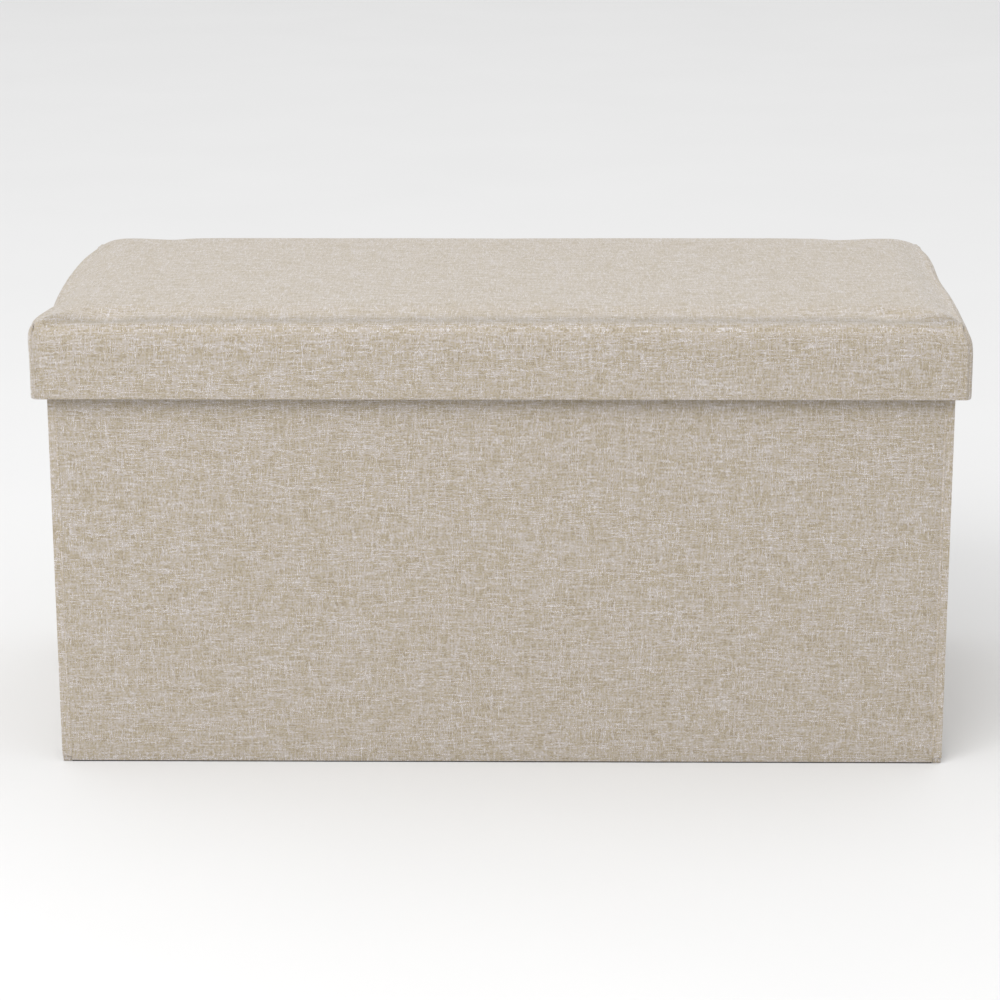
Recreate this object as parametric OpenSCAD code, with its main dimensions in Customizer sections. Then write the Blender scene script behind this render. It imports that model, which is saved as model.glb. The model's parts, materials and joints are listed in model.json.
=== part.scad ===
// Folding storage bench: a fabric-wrapped box whose short walls crease inwards,
// closed by a padded lid that lifts straight off.
// The origin is on the floor under the middle of the bench. +Z is up and the front faces -Y.

/* [Body] */
// Width over the side walls
body_w = 736; // [600:1:1100]
// Depth over the front and back walls
body_d = 356; // [280:1:520]
// Height of the wall tops above the floor
body_h = 350; // [250:1:450]

/* [Wall panels] */
// Thickness of the fibreboard in each wall
board_t = 5; // [3:0.5:9]
// Thickness of the woven cloth on the walls
cloth_t = 0.8; // [0.5:0.1:1.5]
// Thickness of the non-woven lining
lining_t = 0.6; // [0.3:0.1:1]
// Height of the lining's folded edge under the front wall
floor_edge_h = 1; // [0.6:0.1:2]

/* [Base] */
// Thickness of the fibreboard in the base
base_board_t = 3; // [2:0.5:6]
// How far the base's edge lies inside the outer faces of the side and back walls
base_inset = 1.5; // [0.5:0.5:4]
// Gap between the base and the back of the front wall, filled by the hinge tape
base_hinge_gap = 1; // [0.6:0.1:3]
// Running clearance between the base and the walls that fold over it
base_clear = 0.4; // [0.3:0.1:1]

/* [Fold] */
// Distance from each fold line to the wall faces beside it
fold_gap = 0.6; // [0.4:0.1:1.5]
// Half of the slit between the two halves of a side wall
crease_gap = 0.5; // [0.4:0.1:1.5]
// Thickness of the cloth tape in each fold
tape_t = 0.8; // [0.4:0.1:1.5]
// Gap between a tape and the wall that folds away from it
tape_clear = 0.1; // [0.05:0.05:0.2]

/* [Lid] */
// Clearance left inside the lid as the folding walls' corners swing out
swing_clear = 0.5; // [0.3:0.1:2]
// Gap between the wall tops and the lid's lining
lid_rest_gap = 0.4; // [0.3:0.1:1]
// How far the lid hangs below the wall tops
lip_depth = 35; // [20:1:80]
// Thickness of the four rails of the lid
rail_t = 6; // [4:0.5:10]
// Thickness of the lid's board
lid_board_t = 5; // [3:0.5:12]
// Thickness of the seat foam
foam_t = 23; // [15:1:60]
// Thickness of the cloth on the lid
lid_cloth_t = 1; // [0.6:0.1:1.5]
// Radius of the padded top edges
edge_r = 12; // [4:1:14]
// Radius of the lid's upright corners
corner_r = 6; // [3:0.5:6]

/* [Seams and fixings] */
// Distance of each end seam from the end of the lid
seam_in = 5; // [3:0.5:5.5]
// Width of the groove along an end seam
seam_w = 1.2; // [0.8:0.1:2]
// Depth of the groove along an end seam
seam_depth = 0.5; // [0.2:0.1:0.5]
// Length of one stitch
stitch_l = 3.5; // [2:0.5:6]
// Distance from one stitch to the next
stitch_pitch = 8; // [6:0.5:14]
// Width of a staple's crown
staple_w = 10; // [6:1:13]
// Thickness of the staple wire
staple_wire = 0.6; // [0.4:0.1:1]
// Length of a staple's legs
staple_leg = 5; // [3:0.5:6]
// Distance from one staple to the next
staple_pitch = 60; // [30:5:100]
// Radius of the brads that hold the rails to the lid's board
brad_r = 0.6; // [0.4:0.1:1]
// Length of a brad
brad_l = 18; // [12:1:25]
// Distance from one brad to the next
brad_pitch = 90; // [50:5:140]

/* [Hidden] */

$fn = 64;
// Overshoot of a cut past the face that it opens
over = 1;
// Worked-out clearances are rounded up to this step
size_step = 0.1;

linen = "#beb4a6";
lining_black = "#2b2b2d";
fibreboard = "#a37e57";

function round_up(size) = ceil(size / size_step) * size_step;

wall_t = cloth_t + board_t + lining_t;
base_t = base_board_t + 2 * lining_t;
wall_z = base_t + base_clear;
wall_h = body_h - wall_z;
// The front wall stands on the lining's edge; the other walls fold over the base.
front_z = floor_edge_h;
front_h = body_h - front_z;
// The front and back walls fit between the side walls, a groove away from each.
groove = 2 * fold_gap;
cross_l = body_w - 2 * (wall_t + groove);
side_l = body_d / 2 - crease_gap;

// A side wall's end swings out round its fold line as the wall folds, past the staples in the lid.
corner_swing = (wall_t + fold_gap) * (sqrt(2) - 1);
lid_gap = round_up(corner_swing + swing_clear + staple_wire + lid_cloth_t);
lid_in_w = body_w + 2 * lid_gap;
lid_in_d = body_d + 2 * lid_gap;
lid_w = lid_in_w + 2 * (rail_t + lid_cloth_t);
lid_d = lid_in_d + 2 * (rail_t + lid_cloth_t);
lip_z = body_h - lip_depth;
lid_board_z = body_h + lid_rest_gap + lining_t;
lid_board_top = lid_board_z + lid_board_t;
lid_top = lid_board_top + foam_t + lid_cloth_t;
seam_x = lid_w / 2 - seam_in;
end_margin = 30;

// Walls: a panel lies along +X with its outer face at y = 0 and its foot at z = 0.

module panel_board(l, h) {
    color(fibreboard)
        translate([cloth_t, cloth_t, cloth_t])
            cube([l - 2 * cloth_t, board_t, h - 2 * cloth_t]);
}

module panel_cover(l, h) {
    color(linen)
        difference() {
            cube([l, cloth_t + board_t, h]);
            translate([cloth_t, cloth_t, cloth_t])
                cube([l - 2 * cloth_t, board_t + over, h - 2 * cloth_t]);
        }
}

module panel_lining(l, h) {
    color(lining_black)
        translate([0, cloth_t + board_t, 0])
            cube([l, lining_t, h]);
}

module at_front() {
    translate([-cross_l / 2, -body_d / 2, front_z])
        children();
}

module at_back() {
    translate([cross_l / 2, body_d / 2, wall_z])
        rotate([0, 0, 180])
            children();
}

module at_left_front() {
    translate([-body_w / 2, -crease_gap, wall_z])
        rotate([0, 0, -90])
            children();
}

module at_left_rear() {
    translate([-body_w / 2, body_d / 2, wall_z])
        rotate([0, 0, -90])
            children();
}

module at_right_front() {
    translate([body_w / 2, -body_d / 2, wall_z])
        rotate([0, 0, 90])
            children();
}

module at_right_rear() {
    translate([body_w / 2, crease_gap, wall_z])
        rotate([0, 0, 90])
            children();
}

module front_board() {
    at_front() panel_board(cross_l, front_h);
}

module front_cover() {
    at_front() panel_cover(cross_l, front_h);
}

module front_lining() {
    at_front() panel_lining(cross_l, front_h);
    color(lining_black)
        translate([-cross_l / 2, -body_d / 2, 0])
            cube([cross_l, wall_t, floor_edge_h]);
}

module left_front_board() {
    at_left_front() panel_board(side_l, wall_h);
}

module left_front_cover() {
    at_left_front() panel_cover(side_l, wall_h);
}

module left_front_lining() {
    at_left_front() panel_lining(side_l, wall_h);
}

module left_rear_board() {
    at_left_rear() panel_board(side_l, wall_h);
}

module left_rear_cover() {
    at_left_rear() panel_cover(side_l, wall_h);
}

module left_rear_lining() {
    at_left_rear() panel_lining(side_l, wall_h);
}

module right_front_board() {
    at_right_front() panel_board(side_l, wall_h);
}

module right_front_cover() {
    at_right_front() panel_cover(side_l, wall_h);
}

module right_front_lining() {
    at_right_front() panel_lining(side_l, wall_h);
}

module right_rear_board() {
    at_right_rear() panel_board(side_l, wall_h);
}

module right_rear_cover() {
    at_right_rear() panel_cover(side_l, wall_h);
}

module right_rear_lining() {
    at_right_rear() panel_lining(side_l, wall_h);
}

module back_board() {
    at_back() panel_board(cross_l, wall_h);
}

module back_cover() {
    at_back() panel_cover(cross_l, wall_h);
}

module back_lining() {
    at_back() panel_lining(cross_l, wall_h);
}

// Fold tapes: cloth strips that close the outer mouth of each groove.

module corner_tape(side, end) {
    tape_w = groove - tape_clear;
    tape_x = cross_l / 2 + tape_w / 2;
    tape_y = body_d / 2 - tape_t / 2;
    color(linen)
        translate([side * tape_x, end * tape_y, wall_z + wall_h / 2])
            cube([tape_w, tape_t, wall_h], center = true);
}

module middle_tape(side) {
    tape_w = 2 * crease_gap - tape_clear;
    color(linen)
        translate([side * (body_w / 2 - tape_t / 2), -tape_clear / 2, wall_z + wall_h / 2])
            cube([tape_t, tape_w, wall_h], center = true);
}

module left_front_corner_tape() {
    corner_tape(-1, -1);
}

module left_middle_tape() {
    middle_tape(-1);
}

module left_back_corner_tape() {
    corner_tape(-1, 1);
}

module right_front_corner_tape() {
    corner_tape(1, -1);
}

module right_middle_tape() {
    middle_tape(1);
}

module right_back_corner_tape() {
    corner_tape(1, 1);
}

// Base: a lined board behind the front wall, with two ears under the side walls' front ends.

module base_outline(inset) {
    half_w = body_w / 2 - base_inset - inset;
    rear_y = body_d / 2 - base_inset - inset;
    front_y = -body_d / 2 + wall_t + base_hinge_gap + inset;
    ear_y = -body_d / 2 + base_inset + inset;
    ear_in = cross_l / 2 + groove / 2 + inset;
    translate([-half_w, front_y])
        square([2 * half_w, rear_y - front_y]);
    for (side = [-1, 1])
        translate([side * (half_w + ear_in) / 2, (ear_y + front_y) / 2 + over / 2])
            square([half_w - ear_in, front_y - ear_y + over], center = true);
}

module base_board() {
    color(fibreboard)
        translate([0, 0, lining_t])
            linear_extrude(base_board_t)
                base_outline(lining_t);
}

module base_cover() {
    color(lining_black)
        difference() {
            linear_extrude(base_t)
                base_outline(0);
            translate([0, 0, lining_t])
                linear_extrude(base_board_t)
                    base_outline(lining_t);
        }
}

module base_hinge_tape() {
    color(lining_black)
        translate([-cross_l / 2, -body_d / 2 + wall_t, lining_t])
            cube([cross_l, base_hinge_gap, base_board_t]);
}

// Lid: one padded form, of which each layer is a slice.

module round_topped(w, h, r) {
    translate([-w / 2, 0])
        square([w, h - r]);
    translate([-w / 2 + r, 0])
        square([w - 2 * r, h]);
    for (side = [-1, 1])
        translate([side * (w / 2 - r), h - r])
            circle(r);
}

module rounded_plan(w, d, r) {
    square([w - 2 * r, d], center = true);
    square([w, d - 2 * r], center = true);
    for (sx = [-1, 1], sy = [-1, 1])
        translate([sx * (w / 2 - r), sy * (d / 2 - r)])
            circle(r);
}

module lid_form(inset) {
    w = lid_w - 2 * inset;
    d = lid_d - 2 * inset;
    z0 = lip_z + inset;
    h = lid_top - inset - z0;
    r = edge_r - inset;
    translate([0, 0, z0])
        intersection() {
            linear_extrude(h)
                rounded_plan(w, d, corner_r - inset);
            translate([0, d / 2, 0])
                rotate([90, 0, 0])
                    linear_extrude(d)
                        round_topped(w, h, r);
            translate([-w / 2, 0, 0])
                rotate([90, 0, 90])
                    linear_extrude(w)
                        round_topped(d, h, r);
        }
}

// The space between the rails, from below the lid up to the board
module lid_cavity(inset) {
    w = lid_in_w - 2 * inset;
    d = lid_in_d - 2 * inset;
    translate([-w / 2, -d / 2, lip_z - over])
        cube([w, d, lid_board_z - lip_z + over]);
}

module lid_skin() {
    difference() {
        lid_form(0);
        difference() {
            lid_form(lid_cloth_t);
            lid_cavity(0);
        }
        lid_cavity(lid_cloth_t);
        seam_grooves();
    }
}

module seam_grooves() {
    difference() {
        lid_form(0);
        lid_form(seam_depth);
        translate([-seam_x + seam_w / 2, -lid_d, 0])
            cube([2 * seam_x - seam_w, 2 * lid_d, 2 * lid_top]);
        for (side = [-1, 1])
            translate([side * (seam_x + seam_w / 2 + seam_in) - seam_in, -lid_d, 0])
                cube([2 * seam_in, 2 * lid_d, 2 * lid_top]);
        translate([-lid_w, -lid_d, 0])
            cube([2 * lid_w, 2 * lid_d, lip_z + lid_cloth_t]);
    }
}

// Everything beyond an end seam, above the lid's lower edge
module end_zone(side) {
    translate([side > 0 ? seam_x : -seam_x - lid_w, -lid_d, lip_z + lid_cloth_t])
        cube([lid_w, 2 * lid_d, 2 * lid_top]);
}

module lid_cover() {
    color(linen)
        difference() {
            lid_skin();
            end_zone(-1);
            end_zone(1);
        }
}

module lid_left_end_cover() {
    color(linen)
        intersection() {
            lid_skin();
            end_zone(-1);
        }
}

module lid_right_end_cover() {
    color(linen)
        intersection() {
            lid_skin();
            end_zone(1);
        }
}

module seat_foam() {
    color("ivory")
        intersection() {
            lid_form(lid_cloth_t);
            translate([-lid_w / 2, -lid_d / 2, lid_board_top])
                cube([lid_w, lid_d, foam_t + over]);
        }
}

module lid_board() {
    color(fibreboard)
        translate([-lid_in_w / 2, -lid_in_d / 2, lid_board_z])
            cube([lid_in_w, lid_in_d, lid_board_t]);
}

// Rails along X run the full length; rails along Y fit between them.
module rail(w, d) {
    color(fibreboard)
        intersection() {
            translate([0, 0, lip_z + lid_cloth_t])
                linear_extrude(lid_board_top - lip_z - lid_cloth_t)
                    rounded_plan(lid_w - 2 * lid_cloth_t, lid_d - 2 * lid_cloth_t, corner_r - lid_cloth_t);
            translate([-w / 2, -d / 2, lip_z])
                cube([w, d, lid_board_top - lip_z]);
        }
}

module long_rail(side) {
    difference() {
        rail(lid_w, lid_d);
        translate([-lid_w, side > 0 ? -lid_d - over + lid_in_d / 2 : -lid_in_d / 2, lip_z])
            cube([2 * lid_w, lid_d + over, lid_top]);
    }
}

module short_rail(side) {
    difference() {
        rail(lid_w, lid_in_d);
        translate([side > 0 ? -lid_w - over + lid_in_w / 2 : -lid_in_w / 2, -lid_d, lip_z])
            cube([lid_w + over, 2 * lid_d, lid_top]);
    }
}

module lid_front_rail() {
    long_rail(-1);
}

module lid_back_rail() {
    long_rail(1);
}

module lid_left_rail() {
    short_rail(-1);
}

module lid_right_rail() {
    short_rail(1);
}

module lid_lining() {
    w = lid_in_w - 2 * lid_cloth_t;
    d = lid_in_d - 2 * lid_cloth_t;
    color(lining_black)
        translate([-w / 2, -d / 2, lid_board_z - lining_t])
            cube([w, d, lining_t]);
}

// Places of fixings along a run: as near the pitch as fits, with equal margins at both ends
function run_places(l, pitch) =
    let (n = max(1, floor((l - 2 * end_margin) / pitch)), step = (l - 2 * end_margin) / n)
    [for (i = [0:n]) -l / 2 + end_margin + i * step];

// A staple with its crown on y = 0, standing towards -Y, and its legs along +Y
module staple() {
    translate([-staple_w / 2, -staple_wire, -staple_wire / 2])
        cube([staple_w, staple_wire, staple_wire]);
    for (side = [-1, 1])
        translate([side * (staple_w - staple_wire) / 2 - staple_wire / 2, -staple_wire, -staple_wire / 2])
            cube([staple_wire, staple_leg + staple_wire, staple_wire]);
}

module lid_staples() {
    staple_z = lip_z + lip_depth / 2;
    face_x = lid_in_w / 2 - lid_cloth_t;
    face_y = lid_in_d / 2 - lid_cloth_t;
    color("silver") {
        for (x = run_places(lid_in_w, staple_pitch), turn = [0, 180])
            rotate([0, 0, turn])
                translate([x, face_y, staple_z])
                    staple();
        for (y = run_places(lid_in_d, staple_pitch), turn = [90, 270])
            rotate([0, 0, turn])
                translate([y, face_x, staple_z])
                    staple();
    }
}

module brad() {
    rotate([90, 0, 0])
        cylinder(h = brad_l, r = brad_r, $fn = 24);
}

module lid_brads() {
    brad_z = lid_board_z + lid_board_t / 2;
    color("gray") {
        for (x = run_places(lid_in_w, brad_pitch), turn = [0, 180])
            rotate([0, 0, turn])
                translate([x, lid_in_d / 2 + rail_t, brad_z])
                    brad();
        for (y = run_places(lid_in_d, brad_pitch), turn = [90, 270])
            rotate([0, 0, turn])
                translate([y, lid_in_w / 2 + rail_t, brad_z])
                    brad();
    }
}

// Stitches lie in the end seams' grooves, along the top and down the front and back.
module lid_stitching() {
    thread_w = seam_w - 2 * tape_clear;
    thread_h = seam_depth - tape_clear;
    top_l = lid_d - 2 * edge_r;
    drop = lid_top - edge_r - lip_z - lid_cloth_t;
    drop_n = floor((drop - stitch_l) / stitch_pitch);
    top_n = floor((top_l - stitch_l) / stitch_pitch / 2);
    color("wheat")
        for (side = [-1, 1]) {
            for (i = [-top_n:top_n])
                translate([side * seam_x, i * stitch_pitch, lid_top - seam_depth + thread_h / 2])
                    cube([thread_w, stitch_l, thread_h], center = true);
            for (end = [-1, 1], i = [0:drop_n])
                translate([
                    side * seam_x,
                    end * (lid_d / 2 - seam_depth + thread_h / 2),
                    lid_top - edge_r - stitch_l / 2 - i * stitch_pitch
                ])
                    cube([thread_w, thread_h, stitch_l], center = true);
        }
}

front_board();
front_cover();
front_lining();
base_board();
base_cover();
base_hinge_tape();
left_front_board();
left_front_cover();
left_front_lining();
left_rear_board();
left_rear_cover();
left_rear_lining();
right_front_board();
right_front_cover();
right_front_lining();
right_rear_board();
right_rear_cover();
right_rear_lining();
back_board();
back_cover();
back_lining();
left_front_corner_tape();
left_middle_tape();
left_back_corner_tape();
right_front_corner_tape();
right_middle_tape();
right_back_corner_tape();
lid_board();
lid_front_rail();
lid_back_rail();
lid_left_rail();
lid_right_rail();
seat_foam();
lid_cover();
lid_left_end_cover();
lid_right_end_cover();
lid_lining();
lid_staples();
lid_brads();
lid_stitching();
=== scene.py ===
"""Looks of a folding storage bench: linen-look cloth, a padded lift-off lid and black linings."""

import json
import math

import bmesh
import bpy
import numpy as np
from bpy.props import FloatProperty, FloatVectorProperty, PointerProperty
from mathutils import Matrix, Vector, noise


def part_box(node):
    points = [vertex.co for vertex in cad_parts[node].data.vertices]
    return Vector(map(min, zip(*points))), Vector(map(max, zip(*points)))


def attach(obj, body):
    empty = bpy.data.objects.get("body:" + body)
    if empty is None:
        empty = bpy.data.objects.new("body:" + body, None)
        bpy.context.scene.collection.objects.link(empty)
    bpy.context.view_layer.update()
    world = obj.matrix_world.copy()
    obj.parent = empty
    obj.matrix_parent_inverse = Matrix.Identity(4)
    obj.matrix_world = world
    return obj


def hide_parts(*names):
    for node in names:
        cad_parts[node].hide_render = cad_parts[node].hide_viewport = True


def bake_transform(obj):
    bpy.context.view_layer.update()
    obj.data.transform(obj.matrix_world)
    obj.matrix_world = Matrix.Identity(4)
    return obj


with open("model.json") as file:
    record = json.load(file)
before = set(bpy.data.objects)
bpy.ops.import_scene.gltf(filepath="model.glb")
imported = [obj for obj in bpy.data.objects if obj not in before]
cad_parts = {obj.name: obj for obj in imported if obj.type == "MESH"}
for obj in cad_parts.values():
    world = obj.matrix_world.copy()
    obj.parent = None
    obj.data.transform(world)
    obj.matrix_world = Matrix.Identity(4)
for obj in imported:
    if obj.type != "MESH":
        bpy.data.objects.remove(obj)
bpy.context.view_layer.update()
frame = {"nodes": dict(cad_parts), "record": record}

bl_info = {
    "name": "Folding Storage Bench",
    "version": (1, 0, 0),
    "blender": (4, 5, 0),
    "location": "3D View > Sidebar > Bench",
    "description": "Upholsters the frame of a folding storage bench",
    "category": "Object",
}

MM = 0.001
TOUCH = 1e-6
TINY = 1e-9
ROOT = "front_and_base"
OPEN_CORNER = "right_back_corner_tape"
WALLS = {
    "front": ROOT,
    "back": "back_wall",
    "left_front": "left_front",
    "left_rear": "left_rear",
    "right_front": "right_front",
    "right_rear": "right_rear",
}


# Settings


def length_setting(name, description, low, high, default):
    """A setting in metres"""
    return FloatProperty(
        name=name, description=description, unit="LENGTH", min=low, max=high, precision=5, default=default
    )


def angle_setting(name, description, low, high, default):
    """A setting in radians"""
    return FloatProperty(
        name=name, description=description, subtype="ANGLE", min=low, max=high, default=default
    )


def number_setting(name, description, high, default, unit="NONE"):
    """A setting from 0 up"""
    return FloatProperty(name=name, description=description, unit=unit, min=0, max=high, default=default)


def colour_setting(name, description, default):
    return FloatVectorProperty(
        name=name, description=description, subtype="COLOR", size=3, min=0, max=1, default=default
    )


class ClothSettings(bpy.types.PropertyGroup):
    """The woven cloth on the walls and the lid"""

    dark: colour_setting("Dark yarn", "Colour of the darkest yarns", (0.35, 0.295, 0.22))
    tan: colour_setting("Tan yarn", "Colour of the warm yarns", (0.50, 0.43, 0.322))
    grey: colour_setting("Grey yarn", "Colour of the cool yarns", (0.55, 0.50, 0.47))
    pale: colour_setting("Pale yarn", "Colour of the palest slubs", (0.76, 0.725, 0.715))
    yarn: length_setting(
        "Yarn pitch", "Distance from one yarn to the next", 0.3 * MM, 3 * MM, 0.84 * MM
    )
    slub: length_setting(
        "Slub length", "Length over which a yarn changes colour", 2 * MM, 100 * MM, 6.5 * MM
    )
    thickness: length_setting("Thickness", "Thickness of the cloth", 0.3 * MM, 2 * MM, 0.75 * MM)


class WallSettings(bpy.types.PropertyGroup):
    """The wrapped wall panels"""

    edge: length_setting(
        "Edge radius", "Radius of the cloth round a panel's edges", 0.5 * MM, 3 * MM, 2.0 * MM
    )
    hem: length_setting(
        "Turned-in edge", "Width of cloth that shows inside along a panel's edge", 4 * MM, 30 * MM, 9 * MM
    )
    ripple: length_setting("Ripple", "How far the cloth waves on a panel's face", 0, 2 * MM, 0.3 * MM)
    bead: length_setting("Corner bead", "How far the cloth stands out over a fold", 0, 3 * MM, 0.9 * MM)
    pitch: length_setting(
        "Mesh pitch", "Distance between the rows of a panel's mesh", 4 * MM, 30 * MM, 11 * MM
    )


class LidSettings(bpy.types.PropertyGroup):
    """The padded lid"""

    height_in: length_setting(
        "Slack height", "How far the cloth starts below the lid's full height", 0, 10 * MM, 2.3 * MM
    )
    edge_drop: length_setting(
        "Edge drop", "Height of the rounding along the top edges", 4 * MM, 20 * MM, 10 * MM
    )
    corner: length_setting("Corner radius", "Radius of the upright corners", 3 * MM, 12 * MM, 5.5 * MM)
    swell: length_setting("Swell", "The most that the filling pushes the cloth out", 0, 20 * MM, 6 * MM)
    roll: length_setting(
        "Front roll", "How far the filling stands up along the front edge", 0, 20 * MM, 4.4 * MM
    )
    pressure: number_setting("Pressure", "Pressure of the filling in the cloth simulation", 20, 4)
    stitch: length_setting("Stitch length", "Length of one stitch", 2 * MM, 8 * MM, 3.4 * MM)
    stitch_gap: length_setting("Stitch gap", "Gap between two stitches", 0.5 * MM, 6 * MM, 1.8 * MM)
    pitch: length_setting(
        "Mesh pitch", "Distance between the rows of the lid's mesh", 5 * MM, 30 * MM, 9 * MM
    )


class StageSettings(bpy.types.PropertyGroup):
    """The floor, the lights and the camera"""

    floor: colour_setting("Floor", "Colour of the floor", (0.78, 0.78, 0.78))
    sky: number_setting("Room light", "Strength of the even light of the room", 5, 0.5)
    overhead: number_setting("Overhead light", "Power of the softbox above", 5000, 478, "POWER")
    key: number_setting("Key light", "Power of the softbox at the front left", 5000, 70, "POWER")
    lens: FloatProperty(
        name="Focal length", description="Focal length on a 36 mm wide sensor, in millimetres",
        min=20, max=300, default=109.68,
    )
    distance: length_setting(
        "Camera distance", "Distance of the camera in front of the origin", 0.5, 10, 2.576
    )
    height: length_setting("Camera height", "Height of the camera above the floor", 0, 5, 0.8997)
    aside: length_setting("Camera offset", "How far the camera stands to the right", -2, 2, 0.0346)
    tilt: angle_setting("Tilt", "How far the camera looks down", 0, math.pi / 2, 0.273)
    turn: angle_setting("Turn", "How far the camera turns to the left", -1, 1, 0.0146)
    roll: angle_setting("Roll", "How far the camera leans", -1, 1, -0.0024)


# Helpers for modelling


def deselect():
    if bpy.context.mode != "OBJECT":
        bpy.ops.object.mode_set(mode="OBJECT")
    bpy.ops.object.select_all(action="DESELECT")


def choose(piece):
    """Makes one object the only selected one, and the active one."""
    deselect()
    piece.select_set(True)
    bpy.context.view_layer.objects.active = piece


def add_block(name, low, high):
    """A box between two corners, with its place in its mesh."""
    deselect()
    low, high = Vector(low), Vector(high)
    bpy.ops.mesh.primitive_cube_add(size=1, location=(low + high) / 2, scale=high - low)
    piece = bpy.context.object
    piece.name = piece.data.name = name
    bpy.ops.object.transform_apply(location=True, rotation=True, scale=True)
    return piece


def pick(piece, kind, test):
    """Enters edit mode with the faces or edges that pass the test selected."""
    if bpy.context.mode != "EDIT_MESH":
        choose(piece)
        bpy.ops.object.mode_set(mode="EDIT")
    bpy.ops.mesh.select_mode(type="FACE" if kind == "faces" else "EDGE")
    bpy.ops.mesh.select_all(action="DESELECT")
    mesh = bmesh.from_edit_mesh(piece.data)
    mesh.normal_update()
    for item in getattr(mesh, kind):
        if test(item):
            item.select_set(True)
    bmesh.update_edit_mesh(piece.data)


def faces_towards(piece, direction):
    pick(piece, "faces", lambda face: face.normal.dot(Vector(direction)) > 0.9)


def edges_along(piece, axis):
    """Selects the edges that run along an axis of the bench."""

    def runs(edge):
        step = edge.verts[1].co - edge.verts[0].co
        return abs(step[axis]) > 0.98 * step.length

    pick(piece, "edges", runs)


def edit_all(piece):
    """Enters edit mode with the whole mesh selected."""
    choose(piece)
    bpy.ops.object.mode_set(mode="EDIT")
    bpy.ops.mesh.select_all(action="SELECT")


def turn_outwards():
    """Turns the whole mesh's faces outwards, and leaves edit mode."""
    bpy.ops.mesh.select_all(action="SELECT")
    bpy.ops.mesh.normals_make_consistent(inside=False)
    deselect()


def cut_rows(piece, axis, places):
    """Cuts the whole mesh across an axis at each place."""
    edit_all(piece)
    normal = Vector((0, 0, 0))
    normal[axis] = 1
    for place in places:
        bpy.ops.mesh.select_all(action="SELECT")
        bpy.ops.mesh.bisect(plane_co=normal * place, plane_no=normal)


def row_places(low, high, near, pitch):
    """Places of rows from low to high: those in near, counted from both ends, then an even pitch."""
    inner = [low + step for step in near] + [high - step for step in near]
    start, end = low + near[-1], high - near[-1]
    count = max(1, round((end - start) / pitch))
    return sorted(inner + [start + (end - start) * i / count for i in range(1, count)])


def read_vectors(items, key):
    found = np.zeros(len(items) * 3, np.float32)
    items.foreach_get(key, found)
    return found.reshape(-1, 3).astype(float)


def points_of(piece):
    return read_vectors(piece.data.vertices, "co")


def normals_of(piece):
    return read_vectors(piece.data.vertex_normals, "vector")


def divide(piece, size, pitch):
    """Cuts an upright panel along its length and its height, about a pitch apart."""
    for axis in (0, 2):
        edges_along(piece, axis)
        bpy.ops.mesh.subdivide(number_cuts=max(2, round(size[axis] / pitch)))


def set_points(piece, places):
    piece.data.vertices.foreach_set("co", np.asarray(places, np.float32).ravel())
    piece.data.update()


def waves(places, length, seed):
    """A smooth random height for each point, from -1 to 1."""
    shift = Vector((seed * 3.7, seed * 1.9, seed * 2.3))
    return np.array([noise.noise(Vector(p) / length + shift) for p in places])


def hump(distance, spread):
    """1 at no distance, falling off to both sides like a bell."""
    return np.exp(-((distance / spread) ** 2))


def climb(values, start, reach):
    """0 up to the start, then an even rise to 1 over the reach."""
    return np.clip((values - start) / reach, 0, 1)


def apply_all(piece):
    choose(piece)
    for modifier in list(piece.modifiers):
        bpy.ops.object.modifier_apply(modifier=modifier.name)


def thicken(piece, thickness):
    """Gives a cloth its thickness, inwards."""
    choose(piece)
    modifier = piece.modifiers.new("cloth", "SOLIDIFY")
    modifier.thickness = thickness
    modifier.offset = -1
    modifier.use_even_offset = True
    modifier.thickness_clamp = 1
    apply_all(piece)


def bevel_sharp(piece, width, segments, angle=50):
    choose(piece)
    bpy.ops.object.mode_set(mode="EDIT")
    bpy.ops.mesh.select_mode(type="EDGE")
    bpy.ops.mesh.select_all(action="DESELECT")
    bpy.ops.mesh.edges_select_sharp(sharpness=math.radians(angle))
    bpy.ops.mesh.bevel(offset=width, segments=segments, affect="EDGES", clamp_overlap=True)
    deselect()


def unfold(piece, top=0.0, seed=0):
    """Lays the cloth's pattern over a boxy piece in metres, carried round from face to face over its top."""
    layer = piece.data.uv_layers.get("weave") or piece.data.uv_layers.new(name="weave")
    piece.data.uv_layers.active = layer
    places = points_of(piece)
    low, high = places.min(0), places.max(0)
    shift = Vector((seed * 0.371, seed * 0.173))
    for face in piece.data.polygons:
        axis = max(range(3), key=lambda k: abs(face.normal[k]))
        side = math.copysign(1, face.normal[axis])
        for loop in face.loop_indices:
            x, y, z = places[piece.data.loops[loop].vertex_index]
            if axis == 2:
                spot = (x, y)
            else:
                down = top - z
                spot = (x if axis == 1 else y, high[axis] + down if side > 0 else low[axis] - down)
            layer.data[loop].uv = Vector(spot) + shift


def stand_at(piece, corner, angle):
    """Turns a panel about its own corner and moves it to its place."""
    choose(piece)
    piece.rotation_euler = (0, 0, angle)
    piece.location = corner
    bpy.ops.object.transform_apply(location=True, rotation=True, scale=True)


def wall_facts(prefix):
    """Where a wall stands: its length, thickness and height, its outer lower corner and its turn."""
    low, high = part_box(f"{prefix}_cover")
    lining_low, lining_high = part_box(f"{prefix}_lining")
    low = Vector(map(min, low, lining_low[:2] + (low.z,)))
    high = Vector(map(max, high, lining_high[:2] + (high.z,)))
    size = high - low
    if prefix == "front":
        return {"size": size, "corner": low, "angle": 0.0}
    if prefix == "back":
        return {"size": size, "corner": Vector((high.x, high.y, low.z)), "angle": math.pi}
    size = Vector((size.y, size.x, size.z))
    if prefix.startswith("right"):
        return {"size": size, "corner": Vector((high.x, low.y, low.z)), "angle": math.pi / 2}
    return {"size": size, "corner": Vector((low.x, high.y, low.z)), "angle": -math.pi / 2}


# Materials


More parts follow.
